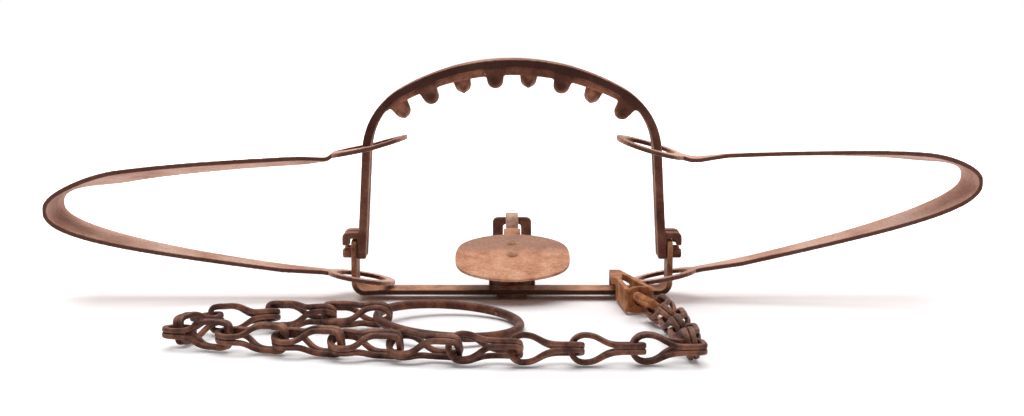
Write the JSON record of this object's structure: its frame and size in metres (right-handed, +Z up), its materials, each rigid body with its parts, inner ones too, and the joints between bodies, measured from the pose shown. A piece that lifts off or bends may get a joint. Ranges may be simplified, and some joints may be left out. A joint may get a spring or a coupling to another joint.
{
  "type": "leghold trap",
  "caption": "Sprung double long-spring leghold trap: toothed arched jaws over a round pan, a bent-strip spring at each end, and a folded-link chain with swivel and ring.",
  "frame": {"origin": "underside of the cross arm below the middle of the base bar, on the ground", "axes": "+X along the base bar to the right, +Y to the back towards the dog, +Z up"},
  "size_m": [0.477, 0.3212, 0.1244],
  "materials": {
    "rust": "rusted",
    "rust_dark": "rusted",
    "rust_warm": "rusted"
  },
  "bodies": {
    "base": {"base_bar": "rust_dark", "cross_arm": "rust_dark", "pan_bracket": "rust", "base_rivets": "rust_warm", "pan_pin": "rust_warm"},
    "front_jaw": {"front_jaw": "rust_dark"},
    "rear_jaw": {"rear_jaw": "rust_dark"},
    "left_spring": {"left_spring_lower": "rust_warm"},
    "left_spring_top": {"left_spring_upper": "rust_warm"},
    "right_spring": {"right_spring_lower": "rust_warm"},
    "right_spring_top": {"right_spring_upper": "rust_warm"},
    "pan": {"pan": "rust_warm", "pan_shank": "rust", "pan_rivets": "rust_warm"},
    "dog": {"dog": "rust"},
    "clevis": {"clevis": "rust_warm"},
    "swivel": {"swivel": "rust"},
    "link_01": {"link_01": "rust"},
    "link_02": {"link_02": "rust"},
    "link_03": {"link_03": "rust"},
    "link_04": {"link_04": "rust"},
    "link_05": {"link_05": "rust"},
    "link_06": {"link_06": "rust"},
    "link_07": {"link_07": "rust"},
    "link_08": {"link_08": "rust"},
    "link_09": {"link_09": "rust"},
    "link_10": {"link_10": "rust"},
    "link_11": {"link_11": "rust"},
    "link_12": {"link_12": "rust"},
    "link_13": {"link_13": "rust"},
    "link_14": {"link_14": "rust"},
    "link_15": {"link_15": "rust"},
    "link_16": {"link_16": "rust"},
    "ring": {"ring": "rust"}
  },
  "joints": [
    {"name": "left_spring_swing", "type": "hinge", "parent": "base", "child": "left_spring", "pos_m": [-0.0814, 0, 0.0054], "axis": [0, 0, 1], "range_deg": [-15, 15]},
    {"name": "left_spring_press", "type": "hinge", "parent": "left_spring", "child": "left_spring_top", "pos_m": [-0.23735, 0, 0.048], "axis": [0, 1, 0], "range_deg": [0, 21.5], "stiffness_Nm_per_rad": 30, "springref_deg": -17.19, "deforming": ["left_spring_upper"]},
    {"name": "right_spring_swing", "type": "hinge", "parent": "base", "child": "right_spring", "pos_m": [0.0814, 0, 0.0054], "axis": [0, 0, 1], "range_deg": [-15, 15]},
    {"name": "right_spring_press", "type": "hinge", "parent": "right_spring", "child": "right_spring_top", "pos_m": [0.23735, 0, 0.0625], "axis": [0, -1, 0], "range_deg": [0, 21.6], "deforming": ["right_spring_upper"]},
    {"name": "front_jaw_hinge", "type": "hinge", "parent": "base", "child": "front_jaw", "pos_m": [0, -0.005, 0.0245], "axis": [1, 0, 0], "range_deg": [0, 90.1]},
    {"name": "rear_jaw_hinge", "type": "hinge", "parent": "base", "child": "rear_jaw", "pos_m": [0, 0.005, 0.0245], "axis": [-1, 0, 0], "range_deg": [0, 98.1]},
    {"name": "pan_tilt", "type": "hinge", "parent": "base", "child": "pan", "pos_m": [0, 0.014, 0.012], "axis": [-1, 0, 0], "range_deg": [0, 14.5]},
    {"name": "dog_throw", "type": "hinge", "parent": "base", "child": "dog", "pos_m": [0, 0.11, 0.0229], "axis": [1, 0, 0], "range_deg": [0, 201.85]},
    {"name": "clevis_lift", "type": "hinge", "parent": "base", "child": "clevis", "pos_m": [0.0493, 0.0076, 0.0026], "axis": [1, 0, 0], "range_deg": [-15, 0]},
    {"name": "swivel_turn", "type": "hinge", "parent": "clevis", "child": "swivel", "pos_m": [0.0493, 0, 0.00747], "axis": [0.342, -0.9397, 0], "range_deg": [-15, 0]},
    {"name": "link_01_turn", "type": "hinge", "parent": "swivel", "child": "link_01", "pos_m": [0.07071, -0.05882, 0.00747], "axis": [0, 0, 1], "range_deg": [0, 8]},
    {"name": "link_02_turn", "type": "hinge", "parent": "link_01", "child": "link_02", "pos_m": [0.07541, -0.08486, 0.00747], "axis": [0, 0, 1], "range_deg": [0, 15]},
    {"name": "link_03_turn", "type": "hinge", "parent": "link_02", "child": "link_03", "pos_m": [0.07726, -0.11129, 0.00747], "axis": [0, 0, 1], "range_deg": [0, 15]},
    {"name": "link_04_turn", "type": "hinge", "parent": "link_03", "child": "link_04", "pos_m": [0.07819, -0.13778, 0.00747], "axis": [0, 0, 1], "range_deg": [0, 15]},
    {"name": "link_05_lift", "type": "hinge", "parent": "link_04", "child": "link_05", "pos_m": [0.05761, -0.13958, 0.00747], "axis": [0.0871, -0.9956, 0.0349], "range_deg": [-22, 0]},
    {"name": "link_06_lift", "type": "hinge", "parent": "link_05", "child": "link_06", "pos_m": [0.03115, -0.14081, 0.00747], "axis": [-0.0344, 0.9842, -0.1736], "range_deg": [0, 22]},
    {"name": "link_07_lift", "type": "hinge", "parent": "link_06", "child": "link_07", "pos_m": [0.00466, -0.14065, 0.00747], "axis": [-0.0164, -0.9395, 0.342], "range_deg": [-22, 0]},
    {"name": "link_08_lift", "type": "hinge", "parent": "link_07", "child": "link_08", "pos_m": [-0.02173, -0.13839, 0.00747], "axis": [0.0867, 0.8245, -0.5592], "range_deg": [0, 22]},
    {"name": "link_09_lift", "type": "hinge", "parent": "link_08", "child": "link_09", "pos_m": [-0.05353, -0.13257, 0.00747], "axis": [-0.1199, -0.757, -0.6423], "range_deg": [-22, 0]},
    {"name": "link_10_lift", "type": "hinge", "parent": "link_09", "child": "link_10", "pos_m": [-0.07957, -0.12783, 0.00747], "axis": [0.2329, 0.8691, 0.4364], "range_deg": [0, 22]},
    {"name": "link_11_lift", "type": "hinge", "parent": "link_10", "child": "link_11", "pos_m": [-0.10524, -0.12127, 0.00747], "axis": [-0.2018, -0.9492, -0.2416], "range_deg": [-22, 0]},
    {"name": "link_12_lift", "type": "hinge", "parent": "link_11", "child": "link_12", "pos_m": [-0.13103, -0.11526, 0.00747], "axis": [0.2917, 0.954, 0.0695], "range_deg": [0, 22]},
    {"name": "link_13_lift", "type": "hinge", "parent": "link_12", "child": "link_13", "pos_m": [-0.14878, -0.10373, 0.00747], "axis": [-0.9397, 0.342, -0.0046], "range_deg": [-22, 0]},
    {"name": "link_14_lift", "type": "hinge", "parent": "link_13", "child": "link_14", "pos_m": [-0.13615, -0.08252, 0.00747], "axis": [0.3081, -0.9484, 0.0754], "range_deg": [0, 22]},
    {"name": "link_15_lift", "type": "hinge", "parent": "link_14", "child": "link_15", "pos_m": [-0.1107, -0.07552, 0.00747], "axis": [-0.0985, 0.9369, -0.3354], "range_deg": [-16, 0]},
    {"name": "link_16_lift", "type": "hinge", "parent": "link_15", "child": "link_16", "pos_m": [-0.08431, -0.07336, 0.00747], "axis": [0, -0.7896, 0.6136], "range_deg": [0, 16]},
    {"name": "ring_lift", "type": "hinge", "parent": "link_16", "child": "ring", "pos_m": [-0.06366, -0.07336, 0.00717], "axis": [0, 1, 0], "range_deg": [-90, 0]}
  ],
  "couplings": [
    {"joint": "right_spring_press", "follows": "left_spring_press", "ratio": 1},
    {"joint": "front_jaw_hinge", "follows": "left_spring_press", "ratio": 4.186},
    {"joint": "rear_jaw_hinge", "follows": "left_spring_press", "ratio": 4.5581}
  ]
}
